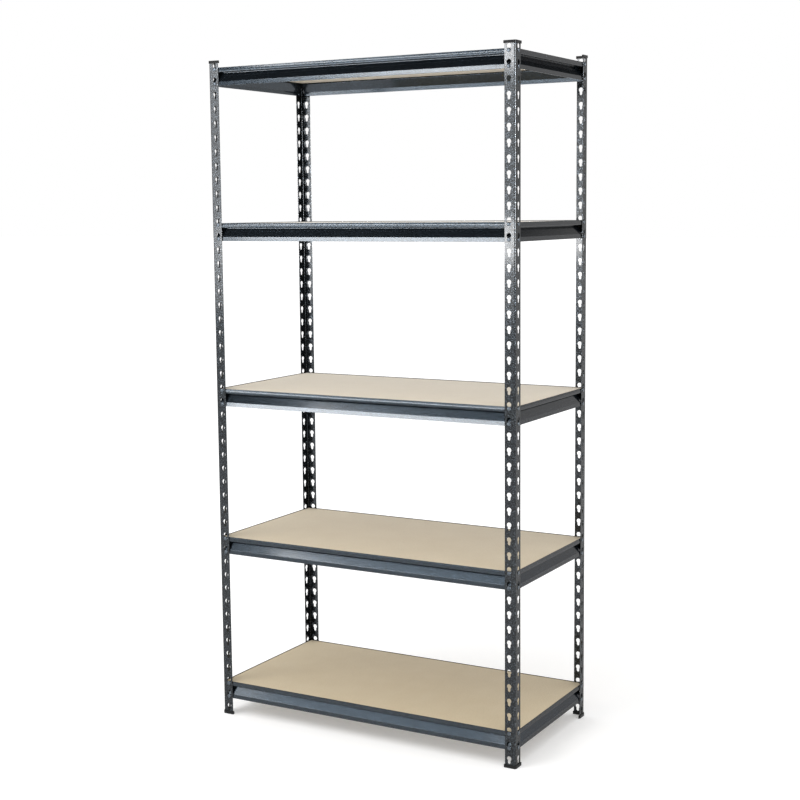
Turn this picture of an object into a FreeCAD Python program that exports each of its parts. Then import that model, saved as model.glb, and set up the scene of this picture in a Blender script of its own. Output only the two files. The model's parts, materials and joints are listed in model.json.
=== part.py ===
"""Boltless steel shelving with five board decks, as a parametric FreeCAD document.

Four angle posts stand at the corners, punched with a column of keyholes down each flange.
Roll-formed steel beams hook into the keyholes by a pair of rivets at each end: four beams
make one level, and their ledges carry a loose board. Plastic caps close the posts' tops and
plastic feet take their bottoms.

Units are millimetres. The origin is on the floor under the middle of the shelving:
+X to the right, +Y to the back, +Z up. Level 1 is the top one.
"""
import FreeCAD, Part
import os

import Sketcher
from FreeCAD import Placement, Rotation, Vector

DOC = FreeCAD.newDocument("boltless_shelving")


# ---------------------------------------------------------------- driving dimensions

SIZES = [
    # overall, over the posts' outer faces and from the floor to the caps' tops
    ("overall_width", 914.4),
    ("overall_depth", 457.2),
    ("overall_height", 1828.8),
    # post: an equal angle with a rounded corner
    ("post_flange", 30.0),
    ("post_wall", 1.4),
    ("post_bend", 3.0),          # outer radius of the corner
    # keyholes, one column down each flange
    ("hole_pitch", 38.1),
    ("hole_first", 5.4),         # from the post's top to the first keyhole's top
    ("hole_last", 6.0),          # least metal left under the lowest keyhole
    ("hole_line", 18.0),         # from the corner's outer face to the column's centre line
    ("keyhole_height", 20.5),
    ("keyhole_width", 12.8),     # across the head, at its widest
    ("keyhole_crown", 7.4),      # flat top of the head
    ("keyhole_shoulder", 5.6),   # from the top down to the widest place
    ("keyhole_slot", 7.6),       # width at the lower end, where the rivet seats
    # rivets
    ("rivet_head", 10.4),        # across the head's corners
    ("rivet_head_height", 1.6),
    ("rivet_shank", 7.0),        # across the shank's corners
    ("rivet_seat_gap", 0.3),     # under the seated shank
    ("rivet_head_gap", 0.1),     # between the head and the post
    # beam section
    ("beam_wall", 1.4),
    ("rivet_top_edge", 5.0),     # from the beam's top edge to the upper rivet
    ("rivet_bottom_edge", 5.4),  # from the lower rivet to the beam's bottom edge
    ("lip_height", 13.0),        # upper lip, which holds the deck's edge
    ("beam_recess", 9.2),        # how far the ledge reaches in behind the lips
    ("skirt_height", 11.0),      # lower lip
    ("slope_height", 22.5),      # the web slants out over this height, down to the lower lip
    ("corner_gap", 0.5),         # between a beam's end and the beam it meets
    # deck boards
    ("deck_thickness", 11.1),
    ("deck_gap", 2.0),           # between a board's edge and the lip beside it
    # plastic caps and feet
    ("cap_wall", 1.8),
    ("cap_top", 1.5),            # over the post's end
    ("cap_height", 7.0),
    ("foot_wall", 2.0),
    ("foot_sole", 2.0),          # under the post's end
    ("foot_height", 8.5),
]

# numbers of keyholes: the levels hang in those that share out the posts most evenly
COUNTS = [
    ("holes_above", 0),          # left free over the top level's rivets
    ("holes_below", 1),          # left free under the lowest level's rivets
]
LEVELS = 5

# places that follow from the driving dimensions
DERIVED = [
    ("post_length", "overall_height - foot_sole - cap_top"),
    ("hole_count", "floor((post_length - hole_first - keyhole_height - hole_last) / hole_pitch) + 1"),
    ("rivet_drop", "keyhole_height - rivet_shank / 2 - rivet_seat_gap"),
    ("rivet_first", "foot_sole + post_length - hole_first - rivet_drop"),
    ("beam_height", "rivet_top_edge + hole_pitch + rivet_bottom_edge"),
    ("beam_end", "post_wall + beam_recess + beam_wall + corner_gap"),
    ("ledge_drop", "lip_height - beam_wall"),
    ("slope_length", "sqrt(beam_recess * beam_recess + slope_height * slope_height)"),
    ("slope_drop", "beam_wall * (slope_length - slope_height) / beam_recess"),
    ("deck_edge", "post_wall + beam_wall + deck_gap"),
]
for level in range(1, LEVELS + 1):
    step = f"(hole_count - 2 - holes_above - holes_below) * {level - 1} / {LEVELS - 1}"
    DERIVED.append((f"level_{level}_hole", f"1 + holes_above + round({step})"))
    DERIVED.append((f"level_{level}_rivet", f"rivet_first - (level_{level}_hole - 1) * hole_pitch"))
    DERIVED.append((f"level_{level}_top", f"level_{level}_rivet + rivet_top_edge"))
    DERIVED.append((f"level_{level}_ledge", f"level_{level}_top - ledge_drop"))

sheet = DOC.addObject("Spreadsheet::Sheet", "Dims")
for row, (alias, value) in enumerate(SIZES + COUNTS + DERIVED, start=1):
    sheet.set(f"A{row}", alias)
    sheet.set(f"B{row}", f"={value}" if isinstance(value, str) else str(value))
    sheet.setAlias(f"B{row}", alias)
DOC.recompute()


# ---------------------------------------------------------------- sizes as expressions

class Size:
    """A length that carries both its value and its expression over the sheet."""

    def __init__(self, text, value):
        self.text, self.value = text, float(value)

    def _with(self, other, sign, work, swapped=False):
        if not isinstance(other, Size):
            other = Size(str(other), other)
        one, two = (other, self) if swapped else (self, other)
        return Size(f"({one.text} {sign} {two.text})", work(one.value, two.value))

    def __add__(self, other):
        return self._with(other, "+", lambda a, b: a + b)

    def __sub__(self, other):
        return self._with(other, "-", lambda a, b: a - b)

    def __mul__(self, other):
        return self._with(other, "*", lambda a, b: a * b)

    def __rmul__(self, other):
        return self._with(other, "*", lambda a, b: a * b, swapped=True)

    def __truediv__(self, other):
        return self._with(other, "/", lambda a, b: a / b)

    def __neg__(self):
        return Size(f"(-1 * {self.text})", -self.value)


class Dims:
    """The sheet's cells by their aliases."""

    def __getattr__(self, alias):
        return Size(f"Dims.{alias}", sheet.get(alias))


dims = Dims()
ZERO = Size("0", 0)


# ---------------------------------------------------------------- helpers

def new_body(label):
    body = DOC.addObject("PartDesign::Body", label)
    body.Label = label
    return body


def new_sketch(body, name, role):
    """A sketch on one of the body's own origin planes, such as XY_Plane."""
    sketch = body.newObject("Sketcher::SketchObject", f"{body.Label}_{name}")
    sketch.AttachmentSupport = [(next(f for f in body.Origin.OriginFeatures if f.Role == role), "")]
    sketch.MapMode = "FlatFace"
    return sketch


def pin(sketch, geometry, point, across, up):
    """Holds one point of the sketch's geometry at (across, up)."""
    for kind, size in (("DistanceX", across), ("DistanceY", up)):
        index = sketch.addConstraint(Sketcher.Constraint(kind, geometry, point, size.value))
        sketch.setExpression(f"Constraints[{index}]", size.text)


def outline(sketch, corners):
    """A closed outline of straight lines through the corners, each (across, up)."""
    places = [Vector(across.value, up.value, 0) for across, up in corners]
    first = sketch.GeometryCount
    for here, there in zip(places, places[1:] + places[:1]):
        sketch.addGeometry(Part.LineSegment(here, there), False)
    for i, corner in enumerate(corners):
        following = first + (i + 1) % len(corners)
        sketch.addConstraint(Sketcher.Constraint("Coincident", first + i, 2, following, 1))
        pin(sketch, first + i, 1, *corner)


def pad(body, sketch, length, midplane=False):
    feature = body.newObject("PartDesign::Pad", f"{sketch.Label}_pad")
    feature.Profile = sketch
    feature.SideType = "Symmetric" if midplane else "One side"
    feature.Length = length.value
    feature.setExpression("Length", length.text)
    return feature


def pocket(body, sketch, length=None, reverse=False):
    """Cuts the sketch to a depth, or right through both ways where no depth is given."""
    feature = body.newObject("PartDesign::Pocket", f"{sketch.Label}_pocket")
    feature.Profile = sketch
    feature.Reversed = reverse
    if length is None:
        feature.Type = "ThroughAll"
        feature.SideType = "Symmetric"
    else:
        feature.Length = length.value
        feature.setExpression("Length", length.text)
    return feature


def round_upright_edge(body, name, at, radius):
    """Rounds the upright edge that stands at x = y = at."""
    DOC.recompute()
    solid = body.Tip
    edge = next(
        f"Edge{i}" for i, e in enumerate(solid.Shape.Edges, start=1)
        if abs(e.tangentAt(e.FirstParameter).z) > 0.99
        and Vector(e.CenterOfMass.x - at.value, e.CenterOfMass.y - at.value, 0).Length < 0.01
    )
    bend = body.newObject("PartDesign::Fillet", f"{body.Label}_{name}")
    bend.Base = (solid, [edge])
    bend.Radius = radius.value
    bend.setExpression("Radius", radius.text)
    body.Tip = bend


def place(feature, x=ZERO, y=ZERO, z=ZERO, turn=0):
    """Puts a piece where the sheet says, turned about +Z."""
    feature.Placement = Placement(Vector(x.value, y.value, z.value), Rotation(Vector(0, 0, 1), turn))
    for axis, size in (("x", x), ("y", y), ("z", z)):
        feature.setExpression(f"Placement.Base.{axis}", size.text)


def angle_section(inner, outer, wall):
    """Corners of an L: its outer faces lie at inner, its legs end at outer, wall thick."""
    return [
        (inner, inner),
        (outer, inner),
        (outer, inner + wall),
        (inner + wall, inner + wall),
        (inner + wall, outer),
        (inner, outer),
    ]


# The four corners. A piece made for the front left one, with its legs along +X and +Y from
# the origin, is turned to face into the shelving from each of the others.
half_width, half_depth = dims.overall_width / 2, dims.overall_depth / 2
CORNERS = {
    "front_left": (-half_width, -half_depth, 0),
    "front_right": (half_width, -half_depth, 90),
    "back_right": (half_width, half_depth, 180),
    "back_left": (-half_width, half_depth, 270),
}


# ---------------------------------------------------------------- posts

def keyholes(body, face, role):
    """Punches the column of keyholes through the leg that lies in the plane of that role."""
    sketch = new_sketch(body, f"{face}_keyhole", role)
    line, top = dims.hole_line, dims.post_length - dims.hole_first
    head = [
        (dims.keyhole_crown / 2, top),
        (dims.keyhole_width / 2, top - dims.keyhole_shoulder),
        (dims.keyhole_slot / 2, top - dims.keyhole_height),
    ]
    right = [(line + half, up) for half, up in head]
    left = [(line - half, up) for half, up in reversed(head)]
    outline(sketch, right + left)
    hole = pocket(body, sketch)
    column = body.newObject("PartDesign::LinearPattern", f"{sketch.Label}_column")
    column.Originals = [hole]
    column.Direction = (sketch, ["V_Axis"])
    column.Reversed = True
    column.Mode = "Spacing"
    column.Occurrences = int(dims.hole_count.value)
    column.setExpression("Offset", dims.hole_pitch.text)
    column.setExpression("Occurrences", dims.hole_count.text)
    body.Tip = column


def post(corner):
    body = new_body(f"post_{corner}")
    section = new_sketch(body, "section", "XY_Plane")
    outline(section, angle_section(ZERO, dims.post_flange, dims.post_wall))
    pad(body, section, dims.post_length)
    # the corner is rolled, not sharp: one radius outside, the same less the wall inside
    round_upright_edge(body, "outer_bend", ZERO, dims.post_bend)
    round_upright_edge(body, "inner_bend", dims.post_wall, dims.post_bend - dims.post_wall)
    keyholes(body, "wide", "XZ_Plane")
    keyholes(body, "deep", "YZ_Plane")
    x, y, turn = CORNERS[corner]
    place(body, x, y, dims.foot_sole, turn)
    return body


# ---------------------------------------------------------------- beams

# Each side of the shelving: the way to it from the middle, the turn that brings a beam made
# for the front there, and the distance over the posts that the beam spans.
SIDES = {
    "front": ((0, -1), 0, dims.overall_width),
    "right": ((1, 0), 90, dims.overall_depth),
    "back": ((0, 1), 180, dims.overall_width),
    "left": ((-1, 0), 270, dims.overall_depth),
}


def beam(level, side):
    """A rolled beam, its lips' outer faces at y = 0 and its top edge at z = 0 before it is placed."""
    (along_x, along_y), turn, span = SIDES[side]
    body = new_body(f"level_{level}_{side}_beam")
    section = new_sketch(body, "section", "YZ_Plane")
    wall, web = dims.beam_wall, dims.beam_recess
    lip, skirt = -dims.lip_height, dims.skirt_height - dims.beam_height
    slope = skirt + dims.slope_height
    # the slope's back bends lower than its front, which keeps the sheet one wall thick there
    drop = dims.slope_drop
    outline(section, [
        (ZERO, ZERO),
        (ZERO, lip),
        (web, lip),
        (web, slope),
        (ZERO, skirt),
        (ZERO, -dims.beam_height),
        (wall, -dims.beam_height),
        (wall, skirt - drop),
        (web + wall, slope - drop),
        (web + wall, lip + wall),
        (wall, lip + wall),
        (wall, ZERO),
    ])
    pad(body, section, span - 2 * dims.beam_end, midplane=True)
    inset_x, inset_y = half_width - dims.post_wall, half_depth - dims.post_wall
    place(body, along_x * inset_x, along_y * inset_y, getattr(dims, f"level_{level}_top"), turn)
    return body


# ---------------------------------------------------------------- rivets

def rivet():
    """One rivet on its axis along y: the beam's face at y = 0, its head out at -y."""
    body = new_body("rivet")
    reach = dims.post_wall + dims.rivet_head_gap
    for name, across, length in (
        ("shank", dims.rivet_shank, reach),
        ("head", dims.rivet_head, dims.rivet_head_height),
    ):
        sketch = new_sketch(body, name, "XZ_Plane")
        flat, corner = across * 0.4330127, across / 4
        outline(sketch, [
            (ZERO, across / 2), (flat, corner), (flat, -corner),
            (ZERO, -across / 2), (-flat, -corner), (-flat, corner),
        ])
        if name == "head":
            sketch.AttachmentOffset = Placement(Vector(0, 0, reach.value), Rotation())
            sketch.setExpression("AttachmentOffset.Base.z", reach.text)
        pad(body, sketch, length)
    return body


def rivets(level, model):
    """All the rivets of one level: two at each end of its four beams, as one piece of hardware."""
    upper = getattr(dims, f"level_{level}_rivet").value
    column = dims.hole_line.value
    copies = []
    for (along_x, along_y), turn, span in SIDES.values():
        inset_x = half_width.value - dims.post_wall.value
        inset_y = half_depth.value - dims.post_wall.value
        across = span.value / 2 - column
        for end in (-across, across):
            for z in (upper, upper - dims.hole_pitch.value):
                x = along_x * inset_x + (end if along_y else 0)
                y = along_y * inset_y + (end if along_x else 0)
                copy = model.Shape.copy()
                copy.Placement = Placement(Vector(x, y, z), Rotation(Vector(0, 0, 1), turn))
                copies.append(copy)
    feature = DOC.addObject("Part::Feature", f"level_{level}_rivets")
    feature.Label = f"level_{level}_rivets"
    feature.Shape = Part.makeCompound(copies)
    return feature


# ---------------------------------------------------------------- decks

def deck(level):
    """A loose board that lies on the ledges of its level's four beams, inside their lips."""
    body = new_body(f"level_{level}_deck")
    sketch = new_sketch(body, "outline", "XY_Plane")
    x, y = half_width - dims.deck_edge, half_depth - dims.deck_edge
    outline(sketch, [(-x, -y), (x, -y), (x, y), (-x, y)])
    pad(body, sketch, dims.deck_thickness)
    place(body, z=getattr(dims, f"level_{level}_ledge"))
    return body


# ---------------------------------------------------------------- caps and feet

def sleeve(label, corner, wall, height, floor, z, opens_up):
    """A plastic sleeve over a post's end: an L with a socket for the post and a closed end."""
    body = new_body(label)
    outside = new_sketch(body, "outside", "XY_Plane")
    outline(outside, angle_section(-wall, dims.post_flange + wall, dims.post_wall + 2 * wall))
    pad(body, outside, height)
    round_upright_edge(body, "bend", -wall, dims.post_bend + wall)
    # the socket is the post's own section, cut straight across the post's inner bend
    socket = new_sketch(body, "socket", "XY_Plane")
    section = angle_section(ZERO, dims.post_flange, dims.post_wall)
    section[3:4] = [(dims.post_bend, dims.post_wall), (dims.post_wall, dims.post_bend)]
    outline(socket, section)
    low = floor if opens_up else ZERO
    socket.AttachmentOffset = Placement(Vector(0, 0, low.value), Rotation())
    socket.setExpression("AttachmentOffset.Base.z", low.text)
    pocket(body, socket, height - floor, reverse=True)
    x, y, turn = CORNERS[corner]
    place(body, x, y, z, turn)
    return body


# ---------------------------------------------------------------- the shelving

pieces = []
for corner in CORNERS:
    pieces.append(post(corner))
    pieces.append(sleeve(
        f"foot_{corner}", corner, dims.foot_wall, dims.foot_height, dims.foot_sole, ZERO, True))
    pieces.append(sleeve(
        f"cap_{corner}", corner, dims.cap_wall, dims.cap_height, dims.cap_top,
        dims.overall_height - dims.cap_height, False))
model_rivet = rivet()
DOC.recompute()
for level in range(1, LEVELS + 1):
    pieces += [beam(level, side) for side in SIDES]
    pieces.append(rivets(level, model_rivet))
    pieces.append(deck(level))
DOC.recompute()

failed = [o.Label for o in DOC.Objects if {"Invalid", "Error"} & set(o.State)]
if failed:
    raise SystemExit(f"these objects did not recompute: {', '.join(failed)}")
bad = [p.Label for p in pieces if p.Shape.isNull() or not p.Shape.isValid() or not p.Shape.Solids]
if bad:
    raise SystemExit(f"these pieces have no valid solid: {', '.join(bad)}")

os.makedirs("parts", exist_ok=True)
for piece in pieces:
    piece.Shape.exportStep(f"parts/{piece.Label}.step")
print(f"{len(pieces)} pieces, {sum(len(p.Shape.Solids) for p in pieces)} solids")
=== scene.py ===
"""Boltless steel shelving dressed for looks: punched angle posts, rolled beams, rivets, boards.

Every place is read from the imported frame, in metres. Each piece is a surface worked out with
numpy: a section carried along a path, a stack of rings, or a grid round a punched hole.
"""
import json
import math

import bpy
import numpy as np
from mathutils import Matrix, Vector

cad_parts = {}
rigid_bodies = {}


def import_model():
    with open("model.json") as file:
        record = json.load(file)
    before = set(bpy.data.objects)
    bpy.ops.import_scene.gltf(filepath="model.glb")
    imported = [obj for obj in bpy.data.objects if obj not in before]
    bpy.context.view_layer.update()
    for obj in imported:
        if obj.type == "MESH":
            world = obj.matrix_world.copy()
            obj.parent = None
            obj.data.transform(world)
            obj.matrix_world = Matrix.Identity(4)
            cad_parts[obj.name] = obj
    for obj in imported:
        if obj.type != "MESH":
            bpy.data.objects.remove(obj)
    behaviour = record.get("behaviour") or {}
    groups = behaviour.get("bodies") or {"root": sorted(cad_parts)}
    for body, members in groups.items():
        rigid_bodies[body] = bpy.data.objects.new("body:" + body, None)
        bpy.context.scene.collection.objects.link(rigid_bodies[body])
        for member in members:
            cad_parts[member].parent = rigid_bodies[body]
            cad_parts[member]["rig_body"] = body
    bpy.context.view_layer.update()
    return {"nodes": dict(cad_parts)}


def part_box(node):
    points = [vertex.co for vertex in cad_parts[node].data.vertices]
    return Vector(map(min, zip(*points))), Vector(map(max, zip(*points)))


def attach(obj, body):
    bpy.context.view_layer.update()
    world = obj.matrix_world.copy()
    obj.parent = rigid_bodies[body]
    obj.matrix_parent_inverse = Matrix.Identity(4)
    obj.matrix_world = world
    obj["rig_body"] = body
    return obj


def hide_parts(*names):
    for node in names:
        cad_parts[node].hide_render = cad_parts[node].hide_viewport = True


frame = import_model()
MM = 0.001

# ---------------------------------------------------------------- sizes, in millimetres

POST_WALL, POST_FLANGE, POST_BEND = 1.4, 30.0, 3.0
POST_PLAIN = 0.5             # the bend's end to the punched part of the flange
LEAST_FOLD = 0.3             # the smallest inside radius of a sleeve's bend
HOLE_PITCH, HOLE_LINE, HOLE_FIRST, HOLE_TALL = 38.1, 18.0, 5.4, 20.5
HOLE_LAST = 6.0              # the least sheet left under the lowest keyhole
HEAD_RADIUS, SLOT_RADIUS = 6.4, 3.8
SHEARED = 0.3                # how far a sheared steel edge is broken
BEAM_WALL, LIP, RECESS, SLOPE, SKIRT, BEAM_TALL = 1.4, 13.0, 11.8, 22.5, 11.0, 48.5
BEAM_FOLD = 0.8              # inside radius of the beam's rolled folds
FOLD_SIDE = 0.4              # a fold's end to the next point on the flat beside it
LIP_LEAN, LIP_CROWN, SKIRT_LEAN = 1.5, 38.0, 1.6   # the lip's top and the skirt's top stand back
SUNK = 0.8                   # how far the board's face lies under its CAD height, below the lips
RIVET_EDGE = 5.0             # the beam's top edge to the upper rivet
RIVET_HEAD, RIVET_RISE, RIVET_SHANK, RIVET_GAP = 10.4, 1.6, 7.0, 0.1
RIVET_RIM, RIVET_DEPTH = 0.3, 1.3   # the head's broken under edge, and its shank into the beam
CAP_WALL, CAP_TOP, FOOT_WALL, FOOT_SOLE = 1.8, 1.5, 2.0, 2.0
SLEEVE_EDGE, SLEEVE_RIM = 0.5, 0.25   # a sleeve's rounded closed edge, and its rim's breaks
SOCKET_RIM, SOCKET_GAP = 0.2, 0.03    # the inner break's depth, and the gap to the post
BOARD_CORNER, BOARD_EASE = 1.5, 0.6   # a board's corners from above, and its sawn edges

# ---------------------------------------------------------------- counts and angles, in degrees

CELL_UP, CELL_ACROSS = 5, 2  # faces up a keyhole's cell, and free points across its border
HOLE_POINTS = 2 * (CELL_UP + CELL_ACROSS + 1)
BEND_STEPS, BOARD_STEPS, RIVET_STEPS = 6, 4, 16
FOLD_STEP, FEWEST_STEPS = 15, 3       # about how wide a fold's steps are, and their least number
BEAM_STATIONS = (0, 0.15, 0.85, 1)    # shares of a beam's length where its section stands
SOFT_BELOW, RIVET_SOFT_BELOW = 35, 50   # edges that turn less than this are shaded smooth
LEVELS = range(1, 6)

CORNERS = {"front_left": 0, "front_right": 90, "back_right": 180, "back_left": 270}
SIDES = {"front": (0, -1), "right": (1, 0), "back": (0, 1), "left": (-1, 0)}


# ---------------------------------------------------------------- meshes

def solid(name, points, faces, smooth_below=SOFT_BELOW):
    """A closed surface from its points (n x 3, mm) and arrays of faces with equal corner counts.

    Its volume is a sixth of the sum over each face's triangles of the box product of their
    corners. Where that comes out negative, every face is turned over, so all point outwards.
    """
    points = np.asarray(points, float).reshape(-1, 3) * MM
    volume = 0.0
    for group in faces:
        ring = points[group]
        for i in range(1, ring.shape[1] - 1):
            volume += np.einsum("ij,ij->", ring[:, 0], np.cross(ring[:, i], ring[:, i + 1]))
    facing = [group if volume > 0 else group[:, ::-1] for group in faces]
    mesh = bpy.data.meshes.new(name)
    mesh.from_pydata(points.tolist(), [], [f for group in facing for f in group.tolist()])
    mesh.validate()
    mesh.shade_smooth()
    mesh.set_sharp_from_angle(angle=math.radians(smooth_below))
    piece = bpy.data.objects.new(name, mesh)
    bpy.context.scene.collection.objects.link(piece)
    return piece


def dress(piece, node, paint):
    """The piece stands for the node, rides on its body and wears the paint."""
    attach(piece, frame["nodes"][node]["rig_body"])
    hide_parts(node)
    piece.data.materials.append(paint)
    return piece


def box_mm(node):
    low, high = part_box(node)
    return np.array(low) / MM, np.array(high) / MM


def stack(count, n, end_faces):
    """Faces that join a stack of count rings of n points, and the same closing faces at both ends.

    Corner j of ring i is point i * n + j: each side face takes it, its neighbour, and the two
    over them.
    """
    i, j = np.meshgrid(np.arange(count - 1), np.arange(n), indexing="ij")
    k = (j + 1) % n
    sides = np.stack([i * n + j, i * n + k, (i + 1) * n + k, (i + 1) * n + j], -1).reshape(-1, 4)
    return [sides, end_faces[:, ::-1], end_faces + (count - 1) * n]


def strip_ends(n):
    """Quads across a thin ring whose first half runs one way and second half runs back."""
    i = np.arange(n // 2 - 1)
    return np.stack([i, i + 1, n - 2 - i, n - 1 - i], -1)


def arc(centre, radius, start, end, steps):
    """Points on a circle: centre + radius * (cos, sin) of evenly spaced angles in degrees."""
    a = np.radians(np.linspace(start, end, steps + 1))
    return np.stack([centre[0] + radius * np.cos(a), centre[1] + radius * np.sin(a)], -1)


# ---------------------------------------------------------------- posts

def angle_ring(grow):
    """The post's L outline seen from above, moved outwards everywhere by grow.

    Legs run along +x and +y from the corner at the origin. The outer bend is a quarter circle of
    the bend radius plus grow, and the inner one of that radius less the wall and less grow.
    """
    tip, inner = POST_FLANGE + grow, POST_WALL + grow
    fold = max(POST_BEND - POST_WALL - grow, LEAST_FOLD)
    outer_bend = arc((POST_BEND,) * 2, POST_BEND + grow, 270, 180, BEND_STEPS)
    inner_bend = arc((inner + fold,) * 2, fold, 180, 270, BEND_STEPS)
    return np.vstack([[(tip, -grow)], outer_bend, [(-grow, tip)],
                      [(inner, tip)], inner_bend, [(tip, inner)]])


def corner_place(points, corner):
    """Points made for the front left corner, turned to face in from another and moved there.

    With the turn's cosine c and sine s, (x, y) goes to (c x - s y, s x + c y).
    """
    turn = math.radians(CORNERS[corner])
    c, s = round(math.cos(turn)), round(math.sin(turn))
    way = (1 if "right" in corner else -1, 1 if "back" in corner else -1, 0)
    return points @ np.array([[c, s, 0], [-s, c, 0], [0, 0, 1]], float) + OVER_POSTS * way


def keyhole_ring():
    """Sixteen points round a keyhole, from its lower right anticlockwise, its top at height 0.

    The head is a circle, cut by a slot that ends below in half a circle of its own.
    """
    def circle(degrees, radius, up):
        a = np.radians(degrees)
        return np.stack([radius * np.cos(a), up + radius * np.sin(a)], -1)

    meet = math.degrees(math.acos(SLOT_RADIUS / HEAD_RADIUS))
    head, foot = -HEAD_RADIUS, SLOT_RADIUS - HOLE_TALL
    round_head = [-meet, -21, 12, 45, 75, 105, 135, 168, 201, 180 + meet]
    return np.vstack([circle([-45, 0], SLOT_RADIUS, foot), circle(round_head, HEAD_RADIUS, head),
                      circle([180, 225, 255, 285], SLOT_RADIUS, foot)])


def punched_angle(low, high):
    """The points and faces of one post, made for the front left corner.

    The sheet is a set of upright rails, at fixed distances round the L section, on its outer and
    inner faces. Between two rails of a leg each keyhole has a ring of faces from its outline out
    to its cell's border, and every other pair of rails is joined by plain strips.
    """
    top_hole = high - HOLE_FIRST
    count = int((high - low - HOLE_FIRST - HOLE_TALL - HOLE_LAST) // HOLE_PITCH) + 1
    bridge = (HOLE_PITCH - HOLE_TALL) / 2
    border = top_hole - HOLE_TALL - bridge - HOLE_PITCH * np.arange(count - 1)
    border = np.concatenate([[high], border, [low]])
    share = np.linspace(0, 1, CELL_UP + 1)[:-1]
    levels = np.append((border[:-1, None] + np.diff(border)[:, None] * share).ravel(), low)

    # rails round the section, first the outer face's, then the inner face's in the same order,
    # then two on the tip of each leg, whose edges are broken at both faces
    near, far = POST_BEND + POST_PLAIN, POST_FLANGE - SHEARED
    bend = np.radians(np.linspace(270, 180, BEND_STEPS + 1))
    circle = np.stack([np.cos(bend), np.sin(bend)], -1)
    leg = np.array([[far, 0], [near, 0]])
    leg_in = leg + [0, POST_WALL]
    outer = np.vstack([leg, POST_BEND + POST_BEND * circle, leg[::-1, ::-1]])
    inner_bend = POST_BEND + (POST_BEND - POST_WALL) * circle
    inner = np.vstack([leg_in, inner_bend, leg_in[::-1, ::-1]])
    tip = np.array([[POST_FLANGE, SHEARED], [POST_FLANGE, POST_WALL - SHEARED]])
    rails = np.vstack([outer, inner, tip, tip[:, ::-1]])
    n_out, n_levels = len(outer), len(levels)
    a0, a1, b0, b1 = range(2 * n_out, 2 * n_out + 4)
    points = [np.concatenate([np.repeat(rails, n_levels, 0),
                              np.tile(levels, len(rails))[:, None]], 1)]

    def rail(r):
        return r * n_levels + np.arange(n_levels)

    def strip(one, two):
        one, two = rail(one), rail(two)
        return np.stack([one[:-1], one[1:], two[1:], two[:-1]], -1)

    plain = []
    for r in range(1, n_out - 2):
        plain += [strip(r, r + 1), strip(n_out + r + 1, n_out + r)]
    plain += [strip(a0, 0), strip(a1, a0), strip(n_out, a1)]
    plain += [strip(n_out - 1, b0), strip(b0, b1), strip(b1, 2 * n_out - 1)]

    # the punched legs: the first lies along x, and the second is its mirror image along y
    hole = keyhole_ring()
    following = np.roll(np.arange(HOLE_POINTS), -1)
    across = np.linspace(far, near, CELL_ACROSS + 2)[1:-1]
    tops = top_hole - HOLE_PITCH * np.arange(count)
    cell = np.arange(count)[:, None] * CELL_UP
    base = len(points[0])
    for mirrored, tip_rail, bend_rail in ((False, 0, 1), (True, n_out - 1, n_out - 2)):
        rows, keys = [], []
        for depth, shift in ((0, 0), (POST_WALL, n_out)):
            row = np.stack(np.broadcast_arrays(across[None, :], depth, border[:, None]), -1)
            ring = np.stack(np.broadcast_arrays(
                HOLE_LINE + hole[None, :, 0], depth, tops[:, None] + hole[None, :, 1]), -1)
            both = np.vstack([row.reshape(-1, 3), ring.reshape(-1, 3)])
            if mirrored:
                both = both[:, [1, 0, 2]]
            points.append(both)
            ids = base + np.arange(len(both))
            split = len(border) * CELL_ACROSS
            row_id = ids[:split].reshape(-1, CELL_ACROSS)
            ring_id = ids[split:].reshape(-1, HOLE_POINTS)
            base += len(both)
            # border of each cell, in the keyhole's own order: up the tip side, back along the top
            # to the bend side, down that and along the bottom
            at_tip, at_bend = rail(shift + tip_rail), rail(shift + bend_rail)
            up = at_tip[cell + np.arange(CELL_UP, 0, -1)]
            top = np.hstack([at_tip[cell], row_id[:-1]])
            down = at_bend[cell + np.arange(CELL_UP)]
            bottom = np.hstack([at_bend[cell + CELL_UP], row_id[1:, ::-1]])
            edge = np.hstack([up, top, down, bottom])
            sheet = np.stack([edge, edge[:, following], ring_id[:, following], ring_id], -1)
            sheet = sheet.reshape(-1, 4)
            plain.append(sheet[:, ::-1] if mirrored != bool(shift) else sheet)
            rows.append(row_id)
            keys.append(ring_id)
        wall = np.stack([keys[0], keys[0][:, following], keys[1][:, following], keys[1]], -1)
        wall = wall.reshape(-1, 4)
        plain.append(wall[:, ::-1] if mirrored else wall)
        # the leg's two cut ends, between its faces
        for end in (0, -1):
            one, two = [np.concatenate([[rail(shift + tip_rail)[end]], row_id[end],
                                        [rail(shift + bend_rail)[end]]])
                        for shift, row_id in zip((0, n_out), rows)]
            quads = np.stack([one[:-1], one[1:], two[1:], two[:-1]], -1)
            plain.append(quads if (end == -1) != mirrored else quads[:, ::-1])
    # the cut ends of the bend and of the two tips
    loops = [(r, r + 1, n_out + r + 1, n_out + r) for r in range(1, n_out - 2)]
    loops += [(a1, a0, 0, n_out), (n_out - 1, b0, b1, 2 * n_out - 1)]
    for end in (0, -1):
        quads = np.array([[rail(r)[end] for r in loop] for loop in loops])
        plain.append(quads if end == -1 else quads[:, ::-1])
    return np.vstack(points), [np.vstack(plain)]


# ---------------------------------------------------------------- beams

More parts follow.
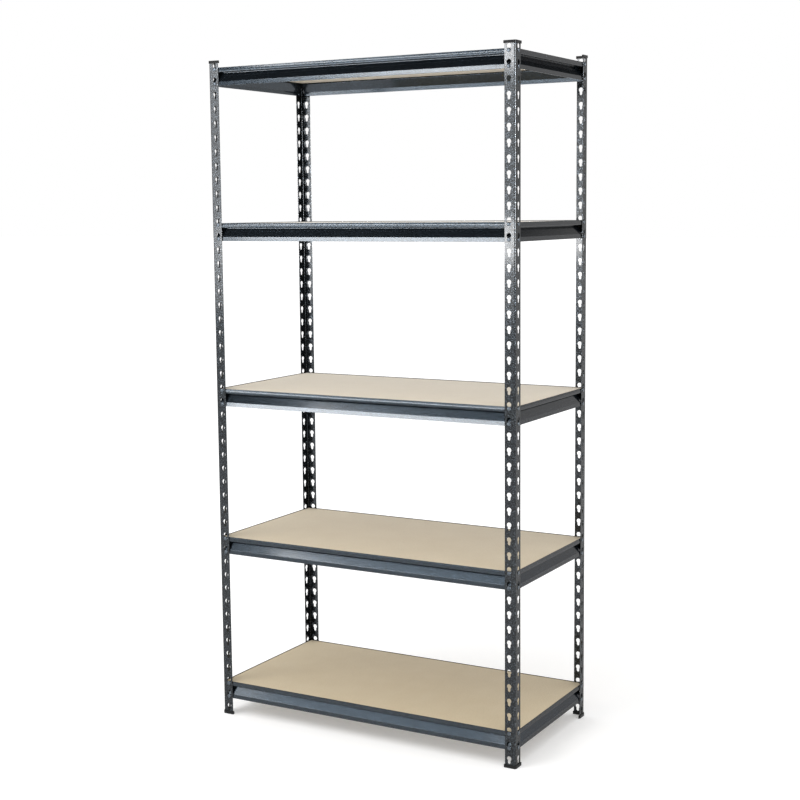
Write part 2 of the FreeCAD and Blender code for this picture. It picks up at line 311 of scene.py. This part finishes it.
def beam_section():
    """The rolled sheet's section as points (inwards, up) from the top edge: down its front, then
    up its back.

    The front line is straight runs joined by arcs, and the back line lies one wall behind it
    along its normal, so the outside of a fold has the fold's inside radius plus the wall. The
    upper lip is crowned and leans in a little, and so does the skirt.
    """
    corners = np.array([(LIP_LEAN, 0), (LIP_LEAN / 5, -0.5 * LIP), (0, -LIP), (RECESS, -LIP),
                        (RECESS, SKIRT + SLOPE - BEAM_TALL), (SKIRT_LEAN, SKIRT - BEAM_TALL),
                        (0, -BEAM_TALL)])
    radii = [LIP_CROWN] + [BEAM_FOLD] * 4
    ways = np.diff(corners, axis=0)
    ways /= np.linalg.norm(ways, axis=1)[:, None]
    backs = np.stack([-ways[:, 1], ways[:, 0]], -1)
    line, normal = [corners[0], corners[0] + ways[0] * SHEARED], [backs[0]] * 2
    for i, radius in enumerate(radii, start=1):
        one, two = ways[i - 1], ways[i]
        turn = math.atan2(one[0] * two[1] - one[1] * two[0], one @ two)
        convex = turn > 0
        radius += BEAM_WALL * (convex and radius == BEAM_FOLD)
        reach = radius * math.tan(abs(turn) / 2)
        start = corners[i] - one * reach
        centre = start + backs[i - 1] * radius * (1 if convex else -1)
        steps = max(FEWEST_STEPS, round(abs(math.degrees(turn)) / FOLD_STEP))
        if radius < LIP_CROWN:
            line.append(start - one * FOLD_SIDE)
            normal.append(backs[i - 1])
        for a in np.linspace(0, turn, steps + 1):
            spin = np.array([[math.cos(a), math.sin(a)], [-math.sin(a), math.cos(a)]])
            line.append(centre + (start - centre) @ spin)
            normal.append(backs[i - 1] @ spin)
        if radius < LIP_CROWN:
            line.append(corners[i] + two * (reach + FOLD_SIDE))
            normal.append(backs[i])
    line += [corners[-1] - ways[-1] * SHEARED, corners[-1]]
    normal += [backs[-1]] * 2
    line, normal = np.array(line), np.array(normal)
    inset = np.zeros((len(line), 1))
    inset[[0, -1]] = SHEARED
    return np.vstack([line + normal * inset, (line + normal * (BEAM_WALL - inset))[::-1]])


def rolled_beam(node, side):
    """The section carried straight along the beam, from end to end of its box."""
    low, high = box_mm(node)
    out = np.array(SIDES[side] + (0,), float)
    along = np.array([-out[1], out[0], 0])
    corners = np.array([low, high])
    face = (corners @ out).max()
    ends = np.sort(corners @ along)
    section = beam_section()
    ring = face * out - section[:, :1] * out + (high[2] + section[:, 1:]) * np.array([0, 0, 1.0])
    stations = ends[0] + np.array(BEAM_STATIONS) * (ends[1] - ends[0])
    points = ring[None] + stations[:, None, None] * along
    n = len(section)
    return solid(f"{node}_rolled", points, stack(len(stations), n, strip_ends(n)))


# ---------------------------------------------------------------- rivets

def rivet_profile():
    """(radius, out from the beam's face) down a rivet's side: a flat top that turns over into a
    low dome, a square under side, and a straight shank."""
    base, rise, half = POST_WALL + RIVET_GAP, RIVET_RISE, RIVET_HEAD / 2
    core, rim = 0.35, 0.25       # where the dome's arc is centred, and the rim's height, in shares
    dome = np.radians([12, 35, 60, 80])
    head = np.stack([half * core + half * (1 - core) * np.sin(dome),
                     base + rise * core + rise * (1 - core) * np.cos(dome)], -1)
    under = [(half, base + rise * rim), (half - RIVET_RIM, base),
             (RIVET_SHANK / 2, base), (RIVET_SHANK / 2, -RIVET_DEPTH)]
    return np.vstack([head, under])


def tail_profile():
    """(radius, height over the beam's back face) of the swaged tail: a low button with a dished
    top."""
    return np.array([(1.6, 0.55), (2.6, 0.95), (3.5, 0.95), (4.1, 0.5), (4.2, -0.3)])


def turned(profile):
    """The profile's points (radius, height) swept once round: each ring's places across the axis,
    and its heights along it."""
    a = np.radians(np.arange(RIVET_STEPS) * 360 / RIVET_STEPS)
    ring = np.stack([np.cos(a), np.sin(a)], -1)
    heights = np.broadcast_to(profile[:, 1, None], (len(profile), RIVET_STEPS))
    return profile[:, None, 0, None] * ring, heights


def rivet_set(level):
    """All of a level's rivets: two at each end of each beam, on the posts' keyhole lines."""
    points, groups, base = [], [[], [], []], 0
    closing = np.arange(RIVET_STEPS)[None]
    for side, out in SIDES.items():
        low, high = box_mm(f"level_{level}_{side}_beam")
        out = np.array(out + (0,), float)
        along, up = np.array([-out[1], out[0], 0]), np.array([0, 0, 1.0])
        face = (np.array([low, high]) @ out).max()
        total = OVER_POSTS @ np.abs(along)
        ends = ((rivet_profile(), face, 1), (tail_profile(), face - BEAM_WALL, -1))
        for across in (HOLE_LINE - total, total - HOLE_LINE):
            for drop in (RIVET_EDGE, RIVET_EDGE + HOLE_PITCH):
                centre = along * across + up * (high[2] - drop)
                for profile, start, way in ends:
                    flat, rise = turned(profile)
                    place = (centre + out * start + flat[..., :1] * along * way
                             + flat[..., 1:] * up + rise[..., None] * out * way)
                    points.append(place.reshape(-1, 3))
                    for group, part in zip(groups, stack(*rise.shape, closing)):
                        group.append(part + base)
                    base += rise.size
    groups = [np.vstack(group) for group in groups]
    return solid(f"level_{level}_rivet_set", np.vstack(points), groups, RIVET_SOFT_BELOW)


# ---------------------------------------------------------------- caps, feet and decks

def sleeve(node, corner, wall, closed, opens_up):
    """A moulded L sleeve: rings from its closed end down its outside, round its rim and up its
    socket.

    Each ring is the post's outline moved outwards, at a depth from the closed end. That end's
    outer edge is a quarter circle of half a millimetre, and the rim's edges are broken flat.
    """
    low, high = box_mm(node)
    tall = high[2] - low[2]
    edge = SLEEVE_EDGE
    rings = [(wall - edge + edge * math.cos(a), edge - edge * math.sin(a))
             for a in np.radians([90, 60, 30, 0])]
    rings += [(wall, tall - SLEEVE_RIM), (wall - SLEEVE_RIM, tall), (SLEEVE_RIM, tall),
              (SOCKET_GAP, tall - SOCKET_RIM), (SOCKET_GAP, closed)]
    points = []
    for grow, depth in rings:
        z = low[2] + depth if opens_up else high[2] - depth
        ring = angle_ring(grow)
        points.append(np.concatenate([ring, np.full((len(ring), 1), z)], 1))
    n = len(points[0])
    place = corner_place(np.vstack(points), corner)
    return solid(f"{node}_moulded", place, stack(len(rings), n, strip_ends(n)))


def board(level):
    """A sawn board: rings of a rectangle with eased corners, its long edges broken by a small arc.

    A last ring just inside each face keeps the face's shading flat.
    """
    low, high = box_mm(f"level_{level}_deck")
    high[2] -= SUNK
    middle, half = (low + high) / 2, (high - low) / 2
    corner, ease = BOARD_CORNER, BOARD_EASE
    rings = [(2 * ease, -half[2])]
    rings += [(ease * (1 - math.sin(a)), -half[2] + ease * (1 - math.cos(a)))
              for a in np.radians([0, 30, 60, 90])]
    rings += [(inset, -z) for inset, z in reversed(rings)]
    points = []
    for inset, z in rings:
        corners = [arc((sx * (half[0] - corner), sy * (half[1] - corner)),
                       corner - inset, start, start + 90, BOARD_STEPS)
                   for sx, sy, start in ((1, 1, 0), (-1, 1, 90), (-1, -1, 180), (1, -1, 270))]
        ring = np.vstack(corners) + middle[:2]
        points.append(np.concatenate([ring, np.full((len(ring), 1), middle[2] + z)], 1))
    n = len(points[0])
    faces = stack(len(rings), n, np.arange(n)[None])
    return solid(f"level_{level}_board", np.vstack(points), faces)


# ---------------------------------------------------------------- materials

def linear(code):
    """An sRGB hex colour as linear light, with an alpha of one."""
    parts = [int(code[i:i + 2], 16) / 255 for i in (1, 3, 5)]
    return [p / 12.92 if p <= 0.04045 else ((p + 0.055) / 1.055) ** 2.4 for p in parts] + [1.0]


def add(tree, kind, settings=(), **links):
    """A node of the kind, with its settings, and its inputs: a value, or a (node, output) to link.

    An input is called by its name, or by its number as i0, i1 and so on. The setting "stops" is a
    colour band's list of places and colours, or greys in linear light.
    """
    node = tree.nodes.new("ShaderNode" + kind)
    for key, value in dict(settings).items():
        if key == "stops":
            band = node.color_ramp.elements
            while len(band) < len(value):
                band.new(0.5)
            for stop, (place, colour) in zip(band, value):
                stop.position = place
                stop.color = linear(colour) if isinstance(colour, str) else [colour] * 3 + [1]
        else:
            setattr(node, key, value)
    for key, value in links.items():
        numbered = key[0] == "i" and key[1:].isdigit()
        socket = node.inputs[int(key[1:]) if numbered else key.replace("_", " ")]
        if isinstance(value, tuple) and isinstance(value[0], bpy.types.Node):
            tree.links.new(value[0].outputs[value[1]], socket)
        else:
            socket.default_value = value
    return node


def material(name):
    paint = bpy.data.materials.new(name)
    paint.use_nodes = True
    tree = paint.node_tree
    tree.nodes.clear()
    return paint, tree


def hammered_enamel(name, dark, mid, light, fleck, rough, coat, depth):
    """Hammer-finish stoving enamel on rolled steel: aluminium flakes in a dark tinted lacquer that
    draws back into small dimples as it dries. The eye sees a blue grey with pale glints, darker
    pools between them, and a broken gloss."""
    paint, tree = material(name)
    place = add(tree, "TexCoord")
    # real dimples lie about 2.5 mm apart, and are drawn at 4.5 mm so that they show
    dimple = add(tree, "TexNoise", Vector=(place, "Object"), Scale=1 / (4.5 * MM), Detail=2.0,
                 Roughness=0.6)
    flake = add(tree, "TexNoise", Vector=(place, "Object"), Scale=1 / (2.2 * MM), Detail=1.0,
                Roughness=0.5)
    drift = add(tree, "TexNoise", Vector=(place, "Object"), Scale=1 / (90 * MM), Detail=2.0,
                Roughness=0.5)
    pools = add(tree, "ValToRGB", {"stops": [(0.34, dark), (0.5, mid), (0.66, light)]},
                Fac=(dimple, "Fac"))
    glint = add(tree, "ValToRGB", {"stops": [(0.56, 0.0), (0.72, 1.0)]}, Fac=(flake, "Fac"))
    tint = add(tree, "MixRGB", {"blend_type": "MIX"}, Fac=(glint, "Color"),
               Color1=(pools, "Color"), Color2=linear(fleck))
    slow = add(tree, "ValToRGB", {"stops": [(0.3, 0.86), (0.7, 1.0)]}, Fac=(drift, "Fac"))
    shade = add(tree, "MixRGB", {"blend_type": "MULTIPLY"}, Fac=1.0,
                Color1=(tint, "Color"), Color2=(slow, "Color"))
    swing = 0.1 * depth          # the gloss changes over a dimple as far as it is deep
    gloss = add(tree, "ValToRGB", {"stops": [(0.35, rough - swing), (0.65, rough + swing)]},
                Fac=(dimple, "Fac"))
    bump = add(tree, "Bump", Height=(dimple, "Fac"), Strength=depth, Distance=0.5 * MM)
    shader = add(tree, "BsdfPrincipled", Base_Color=(shade, "Color"), Metallic=0.85,
                 Roughness=(gloss, "Color"), Specular_Tint=linear("#7d7d7d"),
                 Normal=(bump, "Normal"), Coat_Weight=0.5, Coat_Roughness=coat)
    add(tree, "OutputMaterial", Surface=(shader, "BSDF"))
    return paint


def sanded_board():
    """Sanded board of pressed wood fibre: matt and warm beige from above, and paler at a flat
    view, where its raised fibres catch the light, with fine darker fibres and specks under 2 mm,
    and slow clouds where the fibre mat was denser."""
    paint, tree = material("sanded_fibre_board")
    place = add(tree, "TexCoord")
    grain = add(tree, "Mapping", Vector=(place, "Object"), Scale=(0.35, 1.0, 1.0))
    fibre = add(tree, "TexNoise", Vector=(grain, "Vector"), Scale=1 / (1.6 * MM), Detail=3.0,
                Roughness=0.65)
    cloud = add(tree, "TexNoise", Vector=(place, "Object"), Scale=1 / (70 * MM), Detail=3.0,
                Roughness=0.55)
    speck = add(tree, "TexVoronoi", Vector=(place, "Object"), Scale=1 / (3.2 * MM), Randomness=1.0)
    base = add(tree, "ValToRGB", {"stops": [(0.3, "#b5a586"), (0.5, "#c3b393"), (0.7, "#cdbea1")]},
               Fac=(fibre, "Fac"))
    clouds = add(tree, "ValToRGB", {"stops": [(0.3, "#faf8f4"), (0.7, "#ffffff")]},
                 Fac=(cloud, "Fac"))
    warm = add(tree, "MixRGB", {"blend_type": "MULTIPLY"}, Fac=1.0,
               Color1=(base, "Color"), Color2=(clouds, "Color"))
    dots = add(tree, "ValToRGB", {"stops": [(0.08, 1.0), (0.16, 0.0)]}, Fac=(speck, "Distance"))
    part = add(tree, "Math", {"operation": "MULTIPLY"}, i0=(dots, "Color"), i1=0.35)
    tint = add(tree, "MixRGB", {"blend_type": "MIX"}, Fac=(part, "Value"),
               Color1=(warm, "Color"), Color2=linear("#8a7555"))
    bump = add(tree, "Bump", Height=(fibre, "Fac"), Strength=0.25, Distance=0.12 * MM)
    shader = add(tree, "BsdfPrincipled", Base_Color=(tint, "Color"), Roughness=0.75,
                 Normal=(bump, "Normal"), Specular_IOR_Level=0.3,
                 Sheen_Weight=0.9, Sheen_Roughness=0.3)
    add(tree, "OutputMaterial", Surface=(shader, "BSDF"))
    return paint


def black_polyethylene():
    """Injection-moulded polyethylene, black: a soft satin with a fine orange peel and pale
    scuffs."""
    paint, tree = material("black_polyethylene")
    place = add(tree, "TexCoord")
    peel = add(tree, "TexNoise", Vector=(place, "Object"), Scale=1 / (0.9 * MM), Detail=2.0,
               Roughness=0.5)
    scuff = add(tree, "TexNoise", Vector=(place, "Object"), Scale=1 / (6 * MM), Detail=4.0,
                Roughness=0.7)
    tint = add(tree, "ValToRGB", {"stops": [(0.4, "#08090a"), (0.75, "#111314")]},
               Fac=(scuff, "Fac"))
    gloss = add(tree, "ValToRGB", {"stops": [(0.3, 0.42), (0.7, 0.56)]}, Fac=(scuff, "Fac"))
    bump = add(tree, "Bump", Height=(peel, "Fac"), Strength=0.2, Distance=0.05 * MM)
    shader = add(tree, "BsdfPrincipled", Base_Color=(tint, "Color"), Roughness=(gloss, "Color"),
                 Normal=(bump, "Normal"), IOR=1.51, Specular_IOR_Level=0.25)
    add(tree, "OutputMaterial", Surface=(shader, "BSDF"))
    return paint


def blackened_steel():
    """Cold-headed steel rivets, blackened: bright where the die burnished the dome, dull
    between."""
    paint, tree = material("blackened_rivet_steel")
    place = add(tree, "TexCoord")
    worn = add(tree, "TexNoise", Vector=(place, "Object"), Scale=1 / (2.2 * MM), Detail=3.0,
               Roughness=0.6)
    tint = add(tree, "ValToRGB", {"stops": [(0.35, "#3c4147"), (0.7, "#6d757d")]},
               Fac=(worn, "Fac"))
    gloss = add(tree, "ValToRGB", {"stops": [(0.3, 0.26), (0.7, 0.4)]}, Fac=(worn, "Fac"))
    bump = add(tree, "Bump", Height=(worn, "Fac"), Strength=0.15, Distance=0.06 * MM)
    shader = add(tree, "BsdfPrincipled", Base_Color=(tint, "Color"), Metallic=0.9,
                 Roughness=(gloss, "Color"), Normal=(bump, "Normal"))
    add(tree, "OutputMaterial", Surface=(shader, "BSDF"))
    return paint


# ---------------------------------------------------------------- the shelving

post_low, post_high = box_mm("post_front_left")
OVER_POSTS = np.array([-post_low[0], -post_low[1], 0.0])   # half the distance over the posts

POST_ENAMEL = hammered_enamel("hammered_enamel_post", "#0a0b0c", "#15181a", "#262b30", "#666e76",
                              rough=0.26, coat=0.08, depth=0.35)
BEAM_ENAMEL = hammered_enamel("hammered_enamel_beam", "#22282d", "#293036", "#313941", "#3f4953",
                              rough=0.24, coat=0.1, depth=0.02)
BOARD, PLASTIC, RIVET = sanded_board(), black_polyethylene(), blackened_steel()

post_points, post_faces = punched_angle(post_low[2], post_high[2])
for corner in CORNERS:
    post = solid(f"{corner}_punched_post", corner_place(post_points, corner), post_faces)
    dress(post, f"post_{corner}", POST_ENAMEL)
    cap = sleeve(f"cap_{corner}", corner, CAP_WALL, CAP_TOP, opens_up=False)
    dress(cap, f"cap_{corner}", PLASTIC)
    foot = sleeve(f"foot_{corner}", corner, FOOT_WALL, FOOT_SOLE, opens_up=True)
    dress(foot, f"foot_{corner}", PLASTIC)
for level in LEVELS:
    for side in SIDES:
        node = f"level_{level}_{side}_beam"
        dress(rolled_beam(node, side), node, BEAM_ENAMEL)
    dress(rivet_set(level), f"level_{level}_rivets", RIVET)
    dress(board(level), f"level_{level}_deck", BOARD)


# ---------------------------------------------------------------- floor, light and camera

def seen_by_eye(tree):
    """One for camera, glossy and transmission rays, and nought for the light that surfaces pass
    on."""
    path = add(tree, "LightPath")
    either = add(tree, "Math", {"operation": "MAXIMUM"}, i0=(path, "Is Camera Ray"),
                 i1=(path, "Is Glossy Ray"))
    return add(tree, "Math", {"operation": "MAXIMUM"}, i0=(either, "Value"),
               i1=(path, "Is Transmission Ray"))


def floor():
    """A plain pale floor. It keeps the shelving's shadow, and its glow to the eye grows further
    off, so that it shows white there."""
    size = 60.0
    near, far, near_glow, far_glow = 0.9, 3.0, 0.28, 0.45
    corners = [(-size, -size, 0), (size, -size, 0), (size, size, 0), (-size, size, 0)]
    mesh = bpy.data.meshes.new("studio_floor")
    mesh.from_pydata(corners, [], [(0, 1, 2, 3)])
    plane = bpy.data.objects.new("studio_floor", mesh)
    bpy.context.scene.collection.objects.link(plane)
    paint, tree = material("pale_floor_paper")
    place = add(tree, "TexCoord")
    away = add(tree, "VectorMath", {"operation": "LENGTH"}, i0=(place, "Object"))
    glow = add(tree, "MapRange", i0=(away, "Value"), i1=near, i2=far, i3=near_glow, i4=far_glow)
    level = add(tree, "Math", {"operation": "MULTIPLY"}, i0=(seen_by_eye(tree), "Value"),
                i1=(glow, "Result"))
    diffuse = add(tree, "BsdfDiffuse", Color=linear("#e6e6e6"))
    white = add(tree, "Emission", Color=(1, 1, 1, 1), Strength=(level, "Value"))
    both = add(tree, "AddShader", i0=(diffuse, "BSDF"), i1=(white, "Emission"))
    add(tree, "OutputMaterial", Surface=(both, "Shader"))
    mesh.materials.append(paint)


def sky():
    """Even studio air, white to the eye. Every gloss sees it white up to 13 degrees over the
    horizon, and then fading, up to 20 degrees, to the dark of a high ceiling."""
    low, high, ceiling = 0.22, 0.34, 0.04   # the sines of those angles, and the dark's strength
    world = bpy.data.worlds.new("studio_air")
    bpy.context.scene.world = world
    world.use_nodes = True
    tree = world.node_tree
    tree.nodes.clear()
    place = add(tree, "TexCoord")
    way = add(tree, "SeparateXYZ", Vector=(place, "Generated"))
    fade = add(tree, "MapRange", {"interpolation_type": "SMOOTHSTEP"}, i0=(way, "Z"),
               i1=low, i2=high, i3=1.0, i4=ceiling)
    soft = add(tree, "Background", Color=(1, 1, 1, 1), Strength=0.95)
    rays = add(tree, "LightPath")
    bright = add(tree, "Math", {"operation": "MAXIMUM"}, i0=(rays, "Is Camera Ray"),
                 i1=(fade, "Result"))
    white = add(tree, "Background", Color=(1, 1, 1, 1), Strength=(bright, "Value"))
    mix = add(tree, "MixShader", i0=(seen_by_eye(tree), "Value"), i1=(soft, "Background"),
              i2=(white, "Background"))
    add(tree, "OutputWorld", Surface=(mix, "Shader"))


def softbox(name, place, aim, wide, tall, power, gloss=True, spread=True):
    """A soft lamp of that width and height in metres and that power in watts, at a place and
    facing a point. It is seen in glosses, or lights matt surfaces (spread), or both."""
    light = bpy.data.lights.new(name, "AREA")
    light.shape, light.size, light.size_y, light.energy = "RECTANGLE", wide, tall, power
    lamp = bpy.data.objects.new(name, light)
    lamp.location = place
    lamp.rotation_mode = "QUATERNION"
    lamp.rotation_quaternion = (Vector(aim) - Vector(place)).to_track_quat("-Z", "Y")
    lamp.visible_glossy, lamp.visible_diffuse = gloss, spread
    bpy.context.scene.collection.objects.link(lamp)


def camera():
    """Stands to the right of the middle at chest height, turned 29 degrees to the left and 7
    down.

    With yaw a, pitch b and roll c it looks along (sin a cos b, cos a cos b, -sin b). Its right is
    (cos a, -sin a, 0) and its up is square to both, and both then turn by c about the look.
    """
    place = (1.9869, -3.5274, 1.4256)
    yaw, pitch, roll = -0.5130, 0.1189, -0.0093
    forward = Vector((math.sin(yaw) * math.cos(pitch), math.cos(yaw) * math.cos(pitch),
                      -math.sin(pitch)))
    level = Vector((math.cos(yaw), -math.sin(yaw), 0))
    upright = level.cross(forward)
    right = level * math.cos(roll) + upright * math.sin(roll)
    up = upright * math.cos(roll) - level * math.sin(roll)
    lens = bpy.data.cameras.new("eye")
    lens.sensor_width = 36.0
    lens.lens = 66.31
    lens.shift_y = -0.0188
    eye = bpy.data.objects.new("eye", lens)
    turn = Matrix((right, up, -forward)).transposed().to_4x4()
    eye.matrix_world = Matrix.Translation(place) @ turn
    bpy.context.scene.collection.objects.link(eye)
    bpy.context.scene.camera = eye


floor()
sky()
softbox("key", (-1.6, -2.9, 3.4), (0, 0, 1.0), 2.4, 2.0, 72, gloss=False)
softbox("top", (0.3, -0.6, 4.4), (0, 0, 0), 2.4, 2.4, 25, gloss=False)
softbox("low", (1.2, -2.6, 0.05), (0, 0, 1.8), 1.2, 0.1, 30, gloss=False)
for height in (1.26, 2.22, 3.14):
    softbox("bar", (-1.8, -3.4, height), (0, -0.2, height), 1.5, 0.2, 24, spread=False)
softbox("near_strip", (-1.0, -3.4, 1.65), (0.45, -0.2, 1.65), 0.35, 1.5, 4.5, spread=False)
softbox("far_strip", (-2.85, -3.4, 1.65), (-0.45, -0.2, 1.65), 0.35, 1.5, 8, spread=False)
softbox("edge", (3.0, -1.5, 1.85), (0.45, -0.2, 1.85), 1.1, 1.4, 240, spread=False)
camera()
bpy.context.scene.view_settings.view_transform = "Standard"
